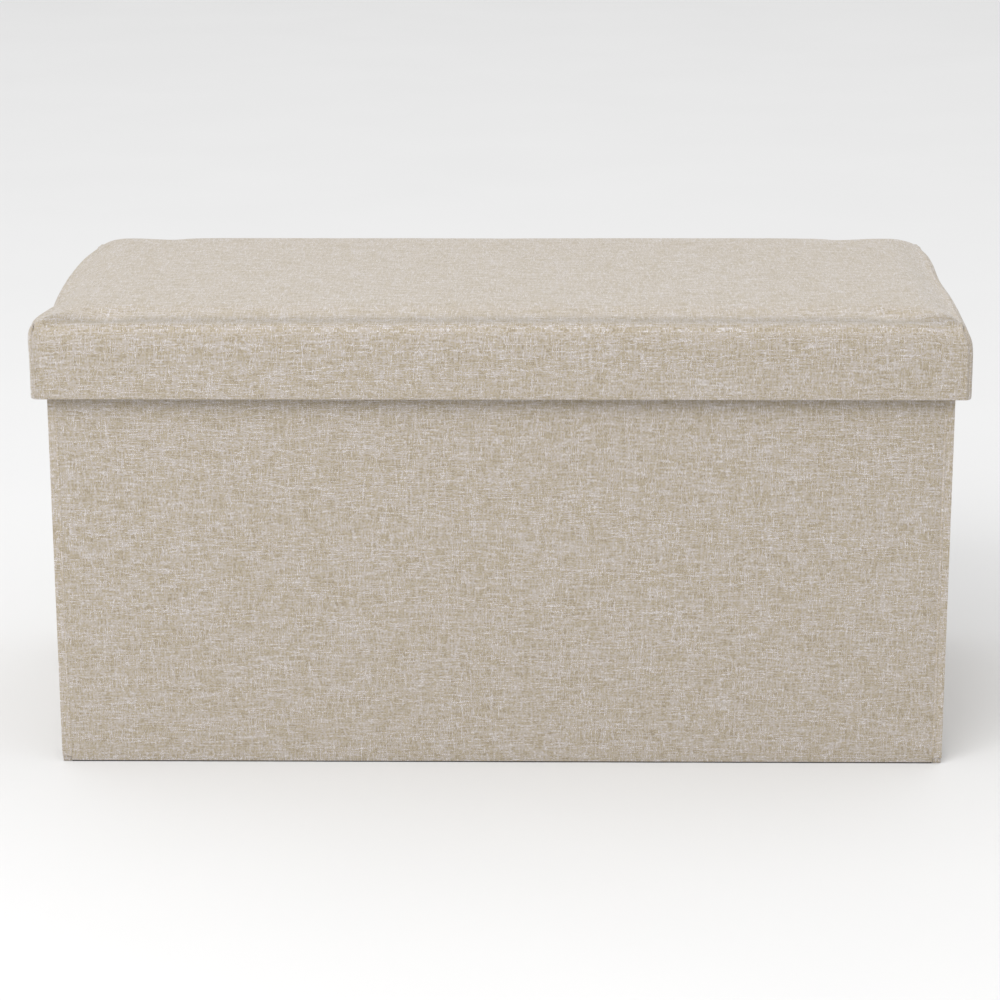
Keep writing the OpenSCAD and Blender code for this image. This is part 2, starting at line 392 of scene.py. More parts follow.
class Recipe:
    """A material's node tree, with short calls for the nodes it is made of."""

    def __init__(self, name, roughness, metallic=0.0, sheen=0.0):
        self.material = bpy.data.materials.new(f"{name}_finish")
        self.material.use_nodes = True
        self.tree = self.material.node_tree
        self.shader = next(n for n in self.tree.nodes if n.type == "BSDF_PRINCIPLED")
        self.shader.inputs["Roughness"].default_value = roughness
        self.shader.inputs["Metallic"].default_value = metallic
        self.shader.inputs["Sheen Weight"].default_value = sheen
        self.shader.inputs["Sheen Roughness"].default_value = 0.45

    def node(self, kind, **settings):
        made = self.tree.nodes.new(kind)
        for key, value in settings.items():
            setattr(made, key, value)
        return made

    def plug(self, value, socket):
        if isinstance(value, bpy.types.NodeSocket):
            self.tree.links.new(value, socket)
        else:
            socket.default_value = value

    def math(self, operation, first, second=0.0):
        made = self.node("ShaderNodeMath", operation=operation)
        self.plug(first, made.inputs[0])
        self.plug(second, made.inputs[1])
        return made.outputs[0]

    def plus(self, first, second):
        return self.math("ADD", first, second)

    def minus(self, first, second):
        return self.math("SUBTRACT", first, second)

    def times(self, first, second):
        return self.math("MULTIPLY", first, second)

    def about_zero(self, value, strength):
        """A value from 0 to 1, brought to both sides of zero"""
        return self.times(self.minus(value, 0.5), strength)

    def arch(self, value):
        """An arch from 0 up to 1 and back, from each whole number to the next"""
        return self.math("SINE", self.times(self.math("FRACT", value), math.pi))

    def between(self, share, first, second):
        """A number on the way from the first to the second"""
        made = self.node("ShaderNodeMix")
        self.plug(share, made.inputs[0])
        self.plug(first, made.inputs[2])
        self.plug(second, made.inputs[3])
        return made.outputs[0]

    def dice(self, vector, dimensions):
        """A random number from 0 to 1 for each vector"""
        made = self.node("ShaderNodeTexWhiteNoise", noise_dimensions=dimensions)
        self.plug(vector, made.inputs["Vector"])
        return made.outputs["Value"]

    def join(self, x, y, z=0.0):
        made = self.node("ShaderNodeCombineXYZ")
        for value, socket in zip((x, y, z), made.inputs):
            self.plug(value, socket)
        return made.outputs[0]

    def split(self, vector):
        made = self.node("ShaderNodeSeparateXYZ")
        self.plug(vector, made.inputs[0])
        return made.outputs

    def noise(self, vector, scale, detail=2.0, roughness=0.5):
        made = self.node("ShaderNodeTexNoise")
        self.plug(vector, made.inputs["Vector"])
        made.inputs["Scale"].default_value = scale
        made.inputs["Detail"].default_value = detail
        made.inputs["Roughness"].default_value = roughness
        return made.outputs[0]

    def yarn(self, number, along, seed):
        """The tone of a yarn: each length of it has its own, and it drifts a little"""
        own, drifting, least = 0.36, 0.27, 0.17
        length_no = self.math("FLOOR", self.plus(along, self.times(number, 0.377)))
        tone = self.dice(self.join(number, length_no, seed), "3D")
        drift = self.noise(self.join(self.times(number, 7.31), self.times(along, 2.3), seed), 1)
        return self.plus(self.times(tone, own), self.plus(self.times(drift, drifting), least))

    def cells(self, vector, scale, randomness=1.0):
        made = self.node("ShaderNodeTexVoronoi")
        self.plug(vector, made.inputs["Vector"])
        made.inputs["Scale"].default_value = scale
        made.inputs["Randomness"].default_value = randomness
        return made.outputs[0]

    def ramp(self, value, stops):
        made = self.node("ShaderNodeValToRGB")
        self.plug(value, made.inputs[0])
        marks = made.color_ramp.elements
        while len(marks) < len(stops):
            marks.new(0.5)
        for mark, (place, colour) in zip(marks, stops):
            mark.position = place
            mark.color = (*colour, 1)
        return made.outputs[0]

    def mix(self, share, first, second, blend="MIX"):
        made = self.node("ShaderNodeMix", data_type="RGBA", blend_type=blend)
        self.plug(share, made.inputs[0])
        self.plug(first, made.inputs[6])
        self.plug(second, made.inputs[7])
        return made.outputs[2]

    def grey(self, value):
        """A number as a grey colour"""
        return self.ramp(value, [(0, (0, 0, 0)), (1, (1, 1, 1))])

    def colour(self, value):
        self.plug(value, self.shader.inputs["Base Color"])

    def bump(self, height, strength, distance):
        made = self.node("ShaderNodeBump")
        made.inputs["Strength"].default_value = strength
        made.inputs["Distance"].default_value = distance
        self.plug(height, made.inputs["Height"])
        self.plug(made.outputs[0], self.shader.inputs["Normal"])

    def object_place(self):
        return self.node("ShaderNodeTexCoord").outputs["Object"]

    def cloth_place(self):
        return self.node("ShaderNodeUVMap", uv_map="weave").outputs[0]


def linen():
    """Plain weave of slubbed tan, grey and pale yarns, with painted shade between the yarns, and painted
    shade or painted highlight from the mesh's shade attribute
    """
    cloth = bpy.context.scene.bench_cloth
    made = Recipe("linen", roughness=0.88, sheen=0.38)
    made.shader.inputs["Specular IOR Level"].default_value = 0.18
    flat = made.cloth_place()
    across, along, _ = made.split(flat)
    wander = made.about_zero(made.noise(flat, 60, 1), 0.12)
    warp_at = made.plus(made.math("DIVIDE", across, cloth.yarn), wander)
    weft_at = made.plus(made.math("DIVIDE", along, cloth.yarn), wander)
    warp_no = made.math("FLOOR", warp_at)
    weft_no = made.math("FLOOR", weft_at)
    slub = cloth.yarn / cloth.slub
    weft_slub = 0.75 * slub
    warp_tone = made.yarn(warp_no, made.times(weft_at, slub), 3.7)
    weft_tone = made.yarn(weft_no, made.times(warp_at, weft_slub), 9.2)
    over = made.math("FLOORED_MODULO", made.plus(warp_no, weft_no), 2)
    cover = made.plus(made.times(over, 0.5), 0.25)
    thicker = made.times(made.minus(weft_tone, warp_tone), 1.5)
    tone = made.between(made.plus(cover, thicker), made.minus(warp_tone, 0.01), made.plus(weft_tone, 0.02))
    patches = made.about_zero(made.noise(flat, 95, 3), 0.06)
    speckle = made.about_zero(made.dice(made.join(warp_no, weft_no), "2D"), 0.24)
    value = made.plus(made.plus(tone, patches), speckle)
    yarns = made.ramp(value, [(0.24, cloth.dark), (0.46, cloth.tan), (0.62, cloth.grey), (0.78, cloth.pale)])
    warp_round = made.arch(warp_at)
    weft_round = made.arch(weft_at)
    height = made.between(over, warp_round, weft_round)
    # Painted shade in the gaps where the yarns part, multiplied into the yarn colours
    gaps = made.plus(made.times(made.times(warp_round, weft_round), 0.2), 0.84)
    # The mesh's shade attribute: painted shade where above zero, painted highlight where below zero
    shade = made.node("ShaderNodeAttribute", attribute_name="shade").outputs["Fac"]
    gaps = made.times(gaps, made.minus(1, shade))
    made.colour(made.mix(1.0, yarns, made.grey(gaps), "MULTIPLY"))
    made.bump(height, 0.5, 0.25 * MM)
    return made.material


def lining():
    """Black non-woven with embossed dots"""
    made = Recipe("lining", roughness=0.72, sheen=0.12)
    place = made.object_place()
    dots = made.cells(place, 1 / (2.1 * MM), 0.12)
    fibres = made.noise(place, 1500, 3, 0.7)
    clouds = made.noise(place, 60, 2)
    tone = made.between(0.6, clouds, fibres)
    made.colour(made.ramp(tone, [(0.3, (0.012, 0.012, 0.013)), (0.7, (0.042, 0.042, 0.045))]))
    height = made.plus(made.times(dots, 0.8), made.times(fibres, 0.35))
    made.bump(height, 0.55, 0.3 * MM)
    return made.material


def fibreboard():
    """Raw medium-density fibreboard"""
    made = Recipe("fibreboard", roughness=0.8)
    place = made.object_place()
    specks = made.noise(place, 1400, 3, 0.75)
    clouds = made.noise(place, 22, 3)
    tone = made.between(0.65, clouds, specks)
    made.colour(made.ramp(
        tone, [(0.3, (0.25, 0.155, 0.08)), (0.5, (0.40, 0.27, 0.15)), (0.7, (0.53, 0.38, 0.23))]
    ))
    made.bump(specks, 0.3, 0.15 * MM)
    return made.material


def foam():
    """Open-cell upholstery foam"""
    made = Recipe("foam", roughness=0.95)
    place = made.object_place()
    pores = made.cells(place, 900)
    age = made.noise(place, 14, 2)
    tone = made.between(0.5, age, pores)
    made.colour(made.ramp(tone, [(0.2, (0.60, 0.52, 0.34)), (0.6, (0.84, 0.79, 0.64))]))
    made.bump(pores, 0.7, 0.5 * MM)
    return made.material


# Colour and roughness
WIRES = {
    "staple_steel": ((0.66, 0.66, 0.67), 0.35),
    "brad_steel": ((0.52, 0.52, 0.54), 0.3),
}


def wire(name, colour, roughness):
    """Drawn steel wire, dulled in patches"""
    made = Recipe(name, roughness=roughness, metallic=1.0)
    place = made.object_place()
    dull = made.noise(place, 420, 3, 0.7)
    dark = tuple(0.62 * c for c in colour)
    made.colour(made.ramp(dull, [(0.35, dark), (0.6, colour)]))
    made.bump(dull, 0.15, 0.05 * MM)
    return made.material


def thread():
    """Twisted polyester sewing thread"""
    made = Recipe("thread", roughness=0.6, sheen=0.2)
    x, y, z = made.split(made.object_place())
    twist = made.math("SINE", made.times(made.plus(made.plus(x, y), z), 9000))
    fuzz = made.noise(made.object_place(), 2400, 2)
    tone = made.plus(made.times(twist, 0.25), fuzz)
    made.colour(made.ramp(tone, [(0.3, (0.27, 0.22, 0.15)), (0.75, (0.50, 0.43, 0.32))]))
    made.bump(tone, 0.4, 0.1 * MM)
    return made.material


def finish_named(slot):
    """The material of a slot, made once"""
    found = bpy.data.materials.get(f"{slot}_finish")
    if found is not None:
        return found
    if slot in WIRES:
        return wire(slot, *WIRES[slot])
    makers = {"linen": linen, "lining": lining, "fibreboard": fibreboard, "foam": foam, "thread": thread}
    return makers[slot]()


def set_painted_light(piece, values):
    """Painted shade on the cloth at each point, or below zero painted highlight"""
    made = piece.data.attributes.new("shade", "FLOAT", "POINT")
    made.data.foreach_set("value", np.broadcast_to(np.float32(values), len(piece.data.vertices)).copy())


def paint(piece, slot):
    piece.data.materials.clear()
    piece.data.materials.append(finish_named(slot))


def dress(piece, slot, angle=40):
    """Gives a piece the finish of a slot and smooths its shading."""
    paint(piece, slot)
    for face in piece.data.polygons:
        face.material_index = 0
    choose(piece)
    bpy.ops.object.shade_smooth_by_angle(angle=math.radians(angle))
    deselect()


def dress_node(node):
    """Gives a CAD node that stays in view its finish."""
    slot = next(s["material_slot"] for s in frame["record"]["subparts"] if s["node"] == node)
    paint(frame["nodes"][node], slot)


# Walls


RIPPLE_FADE = 25 * MM
# The side walls' front ends are a little paler: a painted highlight.
STRIP = 3 * MM
STRIP_PAINTED_HIGHLIGHT = -0.06
LINING_INSET = 0.2 * MM
LINING_THICKNESS = 0.6 * MM
LINING_WAVE = 0.12 * MM


def wrap_panel(name, wall, seed):
    """A panel's cloth: its outer face, its edges, and the edge turned in over the lining."""
    cloth, walls = bpy.context.scene.bench_cloth, bpy.context.scene.bench_walls
    length, depth, height = wall["size"]
    piece = add_block(name, (0, 0, 0), (length, depth, height))
    faces_towards(piece, (0, 1, 0))
    bpy.ops.mesh.inset(thickness=walls.hem, depth=0)
    bpy.ops.mesh.delete(type="FACE")
    divide(piece, wall["size"], walls.pitch)
    deselect()
    unfold(piece, height, seed)
    bevel_sharp(piece, walls.edge, 3)
    places = points_of(piece)
    face = places[:, 1] < TOUCH
    edge = np.minimum.reduce([places[:, 0], length - places[:, 0], places[:, 2], height - places[:, 2]])
    fade = climb(edge, walls.edge, RIPPLE_FADE)
    broad = 0.7 * waves(places, 0.11, seed)
    upright = 0.5 * waves(places * (1, 1, 0.35), 0.05, seed + 9)
    places[:, 1] -= np.where(face, fade * (walls.ripple * (broad + upright) + walls.ripple), 0)
    set_points(piece, places)
    thicken(piece, cloth.thickness)
    stand_at(piece, wall["corner"], wall["angle"])
    # Painted highlight on the side walls' front-end strip
    is_side = wall["angle"] not in (0.0, math.pi)
    strip = points_of(piece)[:, 1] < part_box("front_cover")[0].y + STRIP
    set_painted_light(piece, np.where(strip & is_side, STRIP_PAINTED_HIGHLIGHT, 0))
    dress(piece, "linen")
    return piece


def line_panel(name, wall, seed):
    """A panel's lining, let in flush with the turned-in edge of the cloth."""
    walls = bpy.context.scene.bench_walls
    length, depth, height = wall["size"]
    inset = walls.hem - LINING_INSET
    piece = add_block(name, (inset, depth - LINING_THICKNESS, inset), (length - inset, depth, height - inset))
    divide(piece, wall["size"], 1.6 * walls.pitch)
    bevel_sharp(piece, 0.2 * MM, 2)
    places = points_of(piece)
    skin = places[:, 1] > depth - TOUCH
    places[:, 1] += np.where(skin, LINING_WAVE * (waves(places, 0.04, seed + 5) - 1), 0)
    set_points(piece, places)
    stand_at(piece, wall["corner"], wall["angle"])
    dress(piece, "lining")
    return piece


def floor_edge():
    """The lining's folded edge under the front wall, which the bench stands on"""
    low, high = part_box("front_lining")
    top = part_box("front_cover")[0].z
    inset, back = 0.5 * MM, 0.4 * MM
    piece = add_block("front_floor_edge", (low.x + inset, low.y + back, 0), (high.x - inset, high.y, top))
    edges_along(piece, 0)
    bpy.ops.mesh.subdivide(number_cuts=60)
    bevel_sharp(piece, 0.3 * MM, 2)
    places = points_of(piece)
    places[:, 1] += np.where(places[:, 1] < low.y + 1 * MM, 0.25 * MM * waves(places, 0.03, 2), 0)
    set_points(piece, places)
    dress(piece, "lining")
    return piece


class BENCH_OT_walls(bpy.types.Operator):
    """Wraps the front, back and side walls in cloth and lines them"""

    bl_idname = "bench.walls"
    bl_label = "Wrap the walls"

    def execute(self, context):
        for seed, (prefix, body) in enumerate(WALLS.items()):
            wall = wall_facts(prefix)
            cover = wrap_panel(f"{prefix}_wrap", wall, seed + 1)
            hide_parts(f"{prefix}_cover")
            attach(cover, body)
            sheet = line_panel(f"{prefix}_lining_sheet", wall, seed + 1)
            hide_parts(f"{prefix}_lining")
            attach(sheet, body)
            dress_node(f"{prefix}_board")
        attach(floor_edge(), ROOT)
        return {"FINISHED"}


# Folds


# Painted highlight over the whole bead
BEAD_PAINTED_HIGHLIGHT = -0.1
BEAD_OVERLAP = 0.9 * MM
BEAD_LET_IN = 0.35 * MM
BEAD_WAVE = 0.15 * MM
BEAD_ARC = 1.2
# Painted shade over the whole heel near the floor
HEEL_PAINTED_SHADE = 0.1


def fold_bead(name, size, corner, angle, seed, half=None):
    """A strip of cloth standing out over a fold; half keeps only one side of it."""
    cloth, walls = bpy.context.scene.bench_cloth, bpy.context.scene.bench_walls
    width, height = size
    columns, rows = 8, 48
    deselect()
    bpy.ops.mesh.primitive_grid_add(x_subdivisions=columns, y_subdivisions=rows, size=1)
    piece = bpy.context.object
    piece.name = piece.data.name = name
    places = points_of(piece)
    across, up = places[:, 0].copy(), places[:, 1] + 0.5
    wave = BEAD_WAVE * waves(np.stack([across, up, up], 1), 0.05, seed)
    rise = np.cos(np.pi * across) * (walls.bead + wave)
    set_points(piece, np.stack([across * width, BEAD_LET_IN - rise, up * height], 1))
    layer = piece.data.uv_layers.active
    layer.name = "weave"
    for spot in layer.data:
        spot.uv = Vector((spot.uv.x * width * BEAD_ARC + seed * 0.31, spot.uv.y * height))
    if half is not None:
        pick(piece, "faces", lambda face: face.calc_center_median().x * half < 0)
        bpy.ops.mesh.delete(type="FACE")
        deselect()
    edit_all(piece)
    turn_outwards()
    if piece.data.polygons[0].normal.y > 0:
        piece.data.flip_normals()
    thicken(piece, cloth.thickness * 0.7)
    stand_at(piece, corner, angle)
    # Painted highlight over the whole bead
    set_painted_light(piece, BEAD_PAINTED_HIGHLIGHT)
    dress(piece, "linen", 60)
    return piece


def corner_heel(side):
    """The cloth-covered foot of the base below a front corner, where the side wall's edge passes over it"""
    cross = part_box("front_cover")[1].x
    low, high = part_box("base_cover")
    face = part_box("front_cover")[0].y + 0.3 * MM
    ends = sorted((side * (cross + 0.1 * MM), side * (high.x + 0.9 * MM)))
    name = f"{'left' if side < 0 else 'right'}_front_heel"
    piece = add_block(name, (ends[0], face, 0.3 * MM), (ends[1], low.y + 14 * MM, high.z + 0.3 * MM))
    bevel_sharp(piece, 0.6 * MM, 3)
    unfold(piece, high.z, 40 + side)
    # Painted shade over the whole heel near the floor
    set_painted_light(piece, HEEL_PAINTED_SHADE)
    dress(piece, "linen")
    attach(piece, ROOT)


def corner_bead_facts(side, end):
    """Centre, width and height of the bead at a corner of the bench."""
    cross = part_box("front_cover")[1].x
    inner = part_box("right_front_lining")[0].x
    low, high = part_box("right_front_cover")
    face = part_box("front_cover")[0].y if end < 0 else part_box("back_cover")[1].y
    return {
        "centre": Vector((side * (cross + inner) / 2, face, low.z)),
        "size": (inner - cross + 2 * BEAD_OVERLAP, high.z - low.z),
        "angle": 0.0 if end < 0 else math.pi,
        "reach": Vector(((inner - cross) / 2 + BEAD_OVERLAP, 0, 0)),
    }


class BENCH_OT_folds(bpy.types.Operator):
    """Lays the cloth strips over the folds of the walls"""

    bl_idname = "bench.folds"
    bl_label = "Cover the folds"

    def execute(self, context):
        corners = {
            "left_front_corner_tape": (-1, -1, ROOT, "left_front"),
            "right_front_corner_tape": (1, -1, ROOT, "right_front"),
            "left_back_corner_tape": (-1, 1, "back_wall", "left_rear"),
        }
        for seed, (node, (side, end, wall, next_wall)) in enumerate(corners.items()):
            facts = corner_bead_facts(side, end)
            name = node.replace("_tape", "_bead")
            bead = fold_bead(name, facts["size"], facts["centre"], facts["angle"], seed)
            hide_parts(node)
            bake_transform(bead)
        for side in (-1, 1):
            corner_heel(side)
        facts = corner_bead_facts(1, 1)
        for body, half in (("back_wall", 1), ("right_rear", -1)):
            bead = fold_bead(
                f"right_back_corner_bead_{body}", facts["size"], facts["centre"], facts["angle"], 7, half
            )
            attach(bead, body)
            if body == "back_wall":
                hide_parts(OPEN_CORNER)
        for side, name in ((-1, "left"), (1, "right")):
            low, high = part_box(f"{name}_middle_tape")
            reach = Vector((0, (high.y - low.y) / 2 + BEAD_OVERLAP, 0))
            centre = Vector((high.x if side > 0 else low.x, 0, low.z))
            bead = fold_bead(
                f"{name}_middle_bead", (2 * reach.y, high.z - low.z), centre, side * math.pi / 2, 11 + side
            )
            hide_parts(f"{name}_middle_tape")
            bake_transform(bead)
        return {"FINISHED"}


# Base


class BENCH_OT_base(bpy.types.Operator):
    """Wraps the base board and ties it to the front wall"""

    bl_idname = "bench.base"
    bl_label = "Wrap the base"

    def execute(self, context):
        low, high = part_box("base_cover")
        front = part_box("base_hinge_tape")[0].y
        ear_in = (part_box("front_cover")[1].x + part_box("right_front_lining")[0].x) / 2
        piece = add_block("base_wrap", (low.x, front, low.z), (high.x, high.y, high.z))
        cut_rows(piece, 0, [-ear_in, ear_in])
        faces_towards(piece, (0, -1, 0))
        mesh = bmesh.from_edit_mesh(piece.data)
        for face in mesh.faces:
            if face.select and abs(face.calc_center_median().x) < ear_in:
                face.select_set(False)
        bmesh.update_edit_mesh(piece.data)
        bpy.ops.mesh.extrude_region_move(TRANSFORM_OT_translate={"value": (0, low.y - front, 0)})
        deselect()
        cut_rows(piece, 0, row_places(low.x, high.x, [0.04], 0.03))
        cut_rows(piece, 1, row_places(front, high.y, [0.02], 0.03))
        bevel_sharp(piece, 0.9 * MM, 3)
        thicken(piece, 0.55 * MM)
        dress(piece, "lining")
        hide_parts("base_cover", "base_hinge_tape")
        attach(piece, ROOT)
        dress_node("base_board")
        return {"FINISHED"}


# Lid


# How the lid's cloth is rounded and leans in at the top, and how far the filling may move it sideways
SEAM_LEAN = 0.4
LEAN = 2.4 * MM
LEAN_FROM = 26 * MM
SIDE_SLACK = 0.15
FRAMES = 20
# The number of a face's part of the lid's cloth: the seat's is 0, and each end has its own
END_PARTS = {-1: 1, 1: 2}


def lid_shell():
    """The lid's upholstery before it is filled: an open box of cloth with rounded edges."""
    lid = bpy.context.scene.bench_lid
    low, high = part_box("lid_cover")
    top = high.z - lid.height_in
    r = lid.corner
    piece = add_block("lid_cloth", low, (high.x, high.y, top))
    faces_towards(piece, (0, 0, -1))
    bpy.ops.mesh.delete(type="FACE")
    # Rows lie close together round the edges and corners, and further apart beyond them.
    ends = [r * s for s in (0.33, 0.67, 1)] + [r + s * MM for s in (2.5, 6, 11)]
    cut_rows(piece, 0, row_places(low.x, high.x, ends, lid.pitch))
    sides = [r * s for s in (0.25, 0.5, 0.75, 1)] + [r + s * MM for s in (3, 8)]
    cut_rows(piece, 1, row_places(low.y, high.y, sides, lid.pitch))
    drop = lid.edge_drop
    tops = [top - drop * s for s in (0.15, 0.35, 0.6, 0.8, 1)] + [top - drop - s * MM for s in (3, 8)]
    foot = low.z + 4 * MM
    count = round((tops[-1] - foot) / lid.pitch)
    rest = [foot + (tops[-1] - foot) * i / count for i in range(count)]
    cut_rows(piece, 2, tops + rest)
    deselect()
    unfold(piece, top, 20)
    for face in piece.data.polygons:
        side = round(face.normal.x)
        face.material_index = END_PARTS.get(side, 0)
    places = points_of(piece)
    margin = np.array([r, r, drop])
    inner_low = np.array([low.x + r, low.y + r, low.z - 1])
    inner_high = np.array([high.x - r, high.y - r, top - drop])
    core = np.clip(places, inner_low, inner_high)
    over = (places - core) / margin * (SEAM_LEAN, 1, 1)
    size = np.linalg.norm(over, axis=1, keepdims=True)
    outside = size[:, 0] > TINY
    places[outside] = (core + over / np.maximum(size, TINY) * margin)[outside]
    lean = LEAN * climb(places[:, 2], top - LEAN_FROM, LEAN_FROM) ** 2
    places[:, :2] *= 1 - lean[:, None] / np.array([high.x, high.y])
    set_points(piece, places)
    return piece


def hold_low(piece, low, high):
    """A vertex group that pins the cloth to the rails below, and leaves it free above."""
    group = piece.vertex_groups.new(name="held")
    heights = points_of(piece)[:, 2]
    for index, height in enumerate(heights):
        group.add([index], float(np.clip((high - height) / (high - low), 0, 1)), "REPLACE")


def fill_cloth(piece):
    """Blows the cloth up a little over its filling, as a cloth simulation, and caps the movement."""
    lid = bpy.context.scene.bench_lid
    choose(piece)
    before = points_of(piece)
    modifier = piece.modifiers.new("cloth", "CLOTH")
    settings = modifier.settings
    settings.quality = 8
    settings.mass = 0.3
    settings.tension_stiffness = settings.compression_stiffness = 25
    settings.shear_stiffness = 8
    settings.bending_stiffness = 0.8
    settings.vertex_group_mass = "held"
    settings.use_pressure = True
    settings.uniform_pressure_force = lid.pressure
    settings.effector_weights.gravity = 0
    scene = bpy.context.scene
    for step in range(1, FRAMES + 1):
        scene.frame_set(step)
    shown = piece.evaluated_get(bpy.context.evaluated_depsgraph_get())
    after = points_of(shown)
    piece.modifiers.remove(modifier)
    scene.frame_set(1)
    move = (after - before) * (SIDE_SLACK, SIDE_SLACK, 1)
    far = np.linalg.norm(move, axis=1, keepdims=True)
    set_points(piece, before + move * lid.swell * np.tanh(far / lid.swell) / np.maximum(far, TINY))


FAR = 1.0
# The seams: a groove, deeper at the upper front corners, with a ridge on each side of it; a painted shade
# lies along the groove, much darker at those corners
RIDGES = ((-2.0 * MM, 0.55 * MM), (2.0 * MM, 0.3 * MM))
RIDGE_SPREAD = 1.1 * MM
GROOVE = 0.55 * MM
GROOVE_SPREAD = 0.65 * MM
PINCH = 1.4 * MM
SEAM_PAINTED_SHADE = 0.03
PINCH_PAINTED_SHADE = 0.42
PAINTED_SHADE_SPREAD = 0.9 * MM
# The creases behind the front edge and along the back edge, which end before the seams, and the puckers; a
# painted shade lies along the crease behind the front edge
VALLEY = 0.7 * MM
CREASE_PAINTED_SHADE = 0.22
REAR_CREASE = 0.6 * MM
PUCKER = 0.35 * MM


def beside_seam(places, line, side):
    """How far each point lies from a seam: below zero on the seat's side, above it on the end's."""
    away = np.full(len(places), FAR)
    near = np.nonzero(places[:, 0] * side > abs(line[:, 0]).min() - 12 * MM)[0]
    gaps = np.linalg.norm(places[near, None, :] - line[None, :, :], axis=2)
    best = gaps.argmin(axis=1)
    away[near] = gaps[np.arange(len(near)), best] * np.sign(places[near, 0] * side - line[best, 0] * side)
    return away


def tuck_seams(piece):
    """Sinks the end seams, creases the long edges and puckers the cloth along them, and paints shade into the
    seams and the crease behind the front edge.
    """
    low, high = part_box("lid_cover")
    places, outward = points_of(piece), normals_of(piece)
    across, height = np.abs(places[:, 0]), places[:, 2]
    behind = places[:, 1] + high.y
    pinch = hump(height - high.z + 3 * MM, 5 * MM) * (behind < 25 * MM)
    lift, shade = np.zeros(len(places)), np.zeros(len(places))
    for side in (-1, 1):
        away = beside_seam(places, seam_line(piece, side)[0], side)
        close = away != FAR
        for middle, rise in RIDGES:
            lift[close] += rise * hump(away[close] - middle, RIDGE_SPREAD)
        lift[close] -= (GROOVE + PINCH * pinch[close]) * hump(away[close], GROOVE_SPREAD)
        # Painted shade along the seam groove, darkest at the pinched upper front corners
        shade[close] += (SEAM_PAINTED_SHADE + PINCH_PAINTED_SHADE * pinch[close]) * hump(away[close], PAINTED_SHADE_SPREAD)
    inside = climb(high.x - across, 6 * MM, 8 * MM)
    facing_up = climb(outward[:, 2], 0.55, 0.25) * inside
    lift -= VALLEY * hump(behind - 32 * MM, 9 * MM) * facing_up
    # Painted shade along the crease behind the front edge
    shade += CREASE_PAINTED_SHADE * hump(behind - 15 * MM, 8 * MM) * facing_up
    slope = np.degrees(np.arctan2(outward[:, 2], outward[:, 1]))
    rear_edge = (places[:, 1] > high.y - 14 * MM) & (height > high.z - 12 * MM)
    lift -= REAR_CREASE * hump(slope - 60, 12) * inside * rear_edge
    places += outward * (lift * (height > low.z + 1.5 * MM))[:, None]
    puckers = PUCKER * waves(places * (1, 1, 0.5), 0.026, 31)
    top = climb(places[:, 2], high.z - 14 * MM, 8 * MM)
    ends = hump(np.abs(places[:, 0]) - high.x, 35 * MM)
    long_edges = hump(np.abs(places[:, 1]) - high.y, 30 * MM)
    places += outward * (puckers * np.maximum(ends, long_edges) * top)[:, None]
    set_points(piece, places)
    set_painted_light(piece, shade)


# Where uneven filling moves the lid's edges: a place, from the middle of the lid's full height,
# how far round it the cloth moves, and the move, all in millimetres
EARS = [
    ((-380, -146, -6), (18, 36, 14), (-7.0, 0.0, 0.6)),
    ((-380, -80, -6), (22, 22, 14), (2.6, 0.0, -1.0)),
    ((-380, 50, -6), (22, 100, 14), (-5.0, 0.0, 0.0)),
    ((-374, 184, -4), (40, 34, 16), (1.6, -1.0, -5.0)),
    ((380, -60, -6), (22, 80, 14), (3.6, 0.0, 0.0)),
    ((380, -186, -4), (18, 20, 12), (-2.4, 0.4, -1.4)),
    ((380, 120, -6), (22, 80, 14), (6.6, 0.0, 0.0)),
    ((366, 188, -4), (60, 30, 14), (1.0, -1.0, -5.4)),
]


def pull_corners(piece):
    """Moves the lid's edges out or in where the filling is uneven, and rolls up the front edge."""
    lid = bpy.context.scene.bench_lid
    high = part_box("lid_cover")[1]
    places = points_of(piece)
    for spot, spread, move in EARS:
        from_spot = places - np.array([0, 0, high.z]) - np.array(spot) * MM
        near = np.exp(-((from_spot / (np.array(spread) * MM)) ** 2).sum(1))
        places += near[:, None] * np.array(move) * MM
    roll = hump(places[:, 1] + high.y - 5 * MM, 17 * MM) * climb(places[:, 2], high.z - 28 * MM, 22 * MM)
    ends = climb(high.x - np.abs(places[:, 0]), 8 * MM, 34 * MM)
    places[:, 2] += lid.roll * roll * ends**2 * (3 - 2 * ends)
    set_points(piece, places)


def turn_under(piece):
    """Turns the cloth's lower edge under the rails and up inside the lid."""
    low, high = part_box("lid_cover")
    lining_low, lining_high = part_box("lid_lining")
    radius = 1.3 * MM
    rim = low.z + radius
    width = high.x - lining_high.x
    steps = []
    for part in (0.34, 0.67, 1.0):
        angle = part * math.pi / 2
        steps.append((radius * (1 - math.cos(angle)), rim - radius * math.sin(angle)))
    steps.append((width / 2, low.z))
    for part in (0.0, 0.5, 1.0):
        angle = part * math.pi / 2
        steps.append((width - radius * (1 - math.sin(angle)), rim - radius * math.cos(angle)))
    steps.append((width, low.z + 12 * MM))
    steps.append((width, lining_low.z - 0.1 * MM))
    choose(piece)
    bpy.ops.object.mode_set(mode="EDIT")
    bpy.ops.mesh.select_mode(type="VERT")
    bpy.ops.mesh.select_all(action="DESELECT")
    bpy.ops.mesh.select_non_manifold(extend=False, use_wire=False, use_boundary=True, use_multi_face=False)
    bpy.ops.mesh.select_mode(type="EDGE")
    bpy.ops.transform.translate(value=(0, 0, radius))
    at, height = 0.0, rim
    for inset, level in steps:
        bpy.ops.mesh.extrude_edges_move(TRANSFORM_OT_translate={"value": (0, 0, 0)})
        scale = ((high.x - inset) / (high.x - at), (high.y - inset) / (high.y - at), 1)
        bpy.ops.transform.resize(value=scale, center_override=(0, 0, 0))
        bpy.ops.transform.translate(value=(0, 0, level - height))
        at, height = inset, level
    deselect()


# Faces further out than this share of the lid's half width or depth are on its outside.
OUTER_SHARE = 0.985


